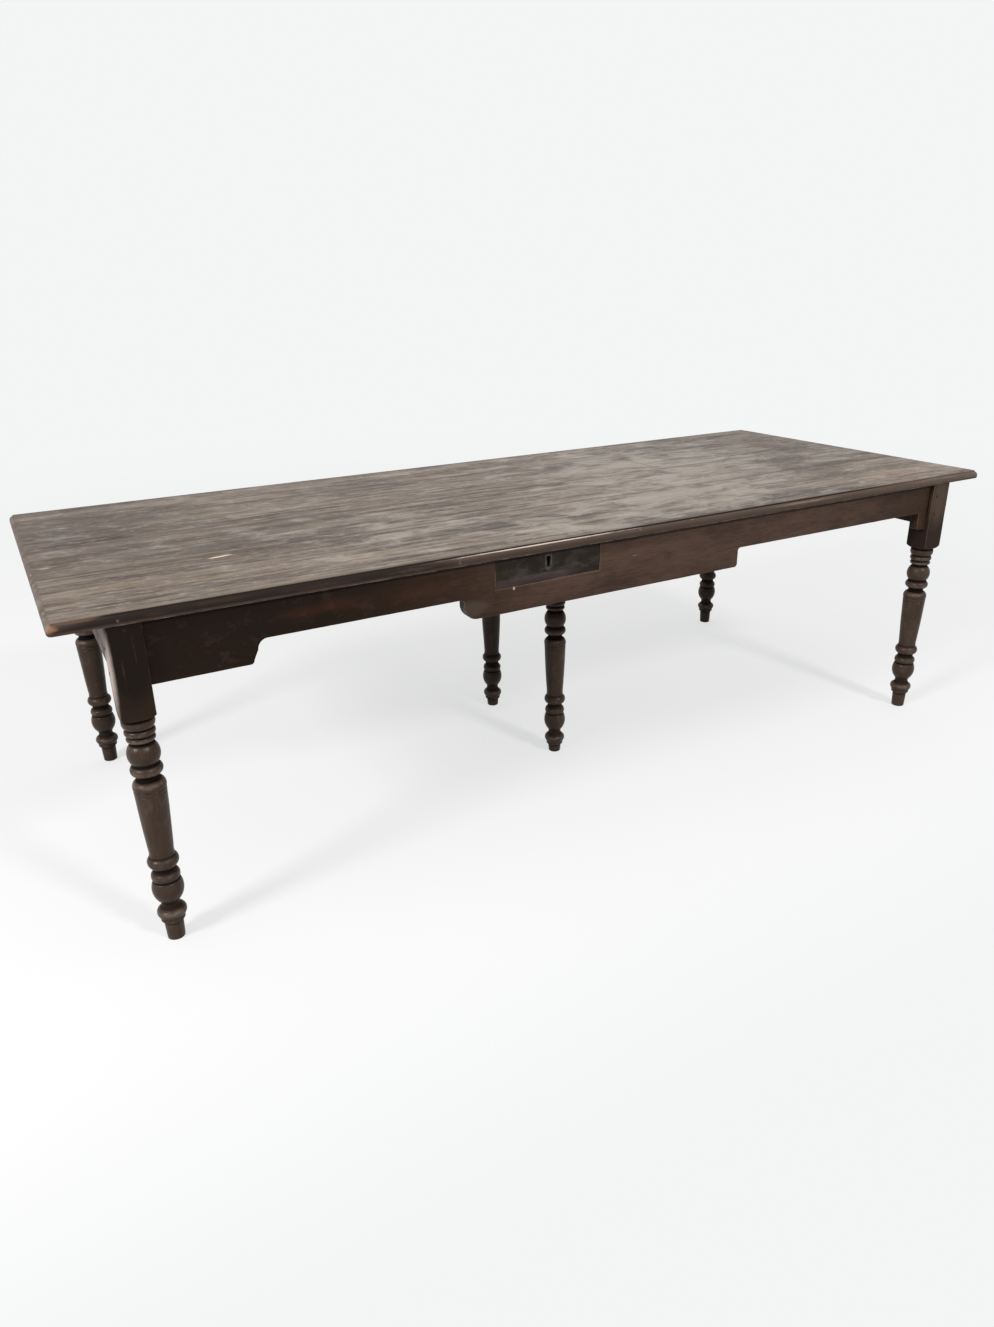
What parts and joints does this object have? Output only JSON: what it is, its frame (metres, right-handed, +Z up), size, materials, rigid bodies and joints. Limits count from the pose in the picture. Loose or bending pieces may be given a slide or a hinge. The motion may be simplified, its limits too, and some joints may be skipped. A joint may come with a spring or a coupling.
{
  "type": "refectory table",
  "caption": "Long wooden refectory table with a plank top, turned legs, stepped aprons and a lockable drawer that slides out to the front.",
  "frame": {"origin": "on the floor, under the middle of the top", "axes": "+X along the table, +Y from the drawer side to the back, +Z up"},
  "size_m": [2.646, 1.05, 0.77],
  "materials": {
    "scrubbed_top_wood": "dry, scrubbed and weathered, matt",
    "stained_frame_wood": "dark stain and old wax, worn at the edges",
    "dark_drawer_wood": "blackened old wax",
    "bare_inner_wood": "bare, sawn and planed",
    "lock_iron": "dull wrought iron",
    "pale_escutcheon_metal": "dull pale metal"
  },
  "bodies": {
    "table": {"top_board_1": "scrubbed_top_wood", "top_board_2": "scrubbed_top_wood", "top_board_3": "scrubbed_top_wood", "top_board_4": "scrubbed_top_wood", "top_pegs": "scrubbed_top_wood", "front_apron": "stained_frame_wood", "back_apron": "stained_frame_wood", "left_end_apron": "stained_frame_wood", "right_end_apron": "stained_frame_wood", "leg_front_left": "stained_frame_wood", "leg_back_left": "stained_frame_wood", "leg_front_right": "stained_frame_wood", "leg_back_right": "stained_frame_wood", "leg_middle_front": "stained_frame_wood", "leg_middle_back": "stained_frame_wood", "joint_pegs": "stained_frame_wood", "cross_rail": "bare_inner_wood", "cross_rail_pegs": "bare_inner_wood", "glue_blocks": "bare_inner_wood", "drawer_runner_left": "bare_inner_wood", "drawer_runner_right": "bare_inner_wood", "drawer_stop_left": "bare_inner_wood", "drawer_stop_right": "bare_inner_wood"},
    "drawer": {"drawer_front": "dark_drawer_wood", "drawer_side_left": "bare_inner_wood", "drawer_side_right": "bare_inner_wood", "drawer_back": "bare_inner_wood", "drawer_bottom": "bare_inner_wood", "escutcheon": "pale_escutcheon_metal", "lock_plate": "lock_iron", "lock_cap": "lock_iron", "lock_pin": "lock_iron", "lock_screws": "lock_iron", "drawer_nails": "lock_iron"},
    "lock_bolt": {"lock_bolt": "lock_iron"}
  },
  "joints": [
    {"name": "drawer_slide", "type": "slide", "parent": "table", "child": "drawer", "axis": [0, -1, 0], "range_m": [0, 0.3]},
    {"name": "lock_bolt_slide", "type": "slide", "parent": "drawer", "child": "lock_bolt", "axis": [0, 0, 1], "range_m": [0, 0.007]}
  ]
}
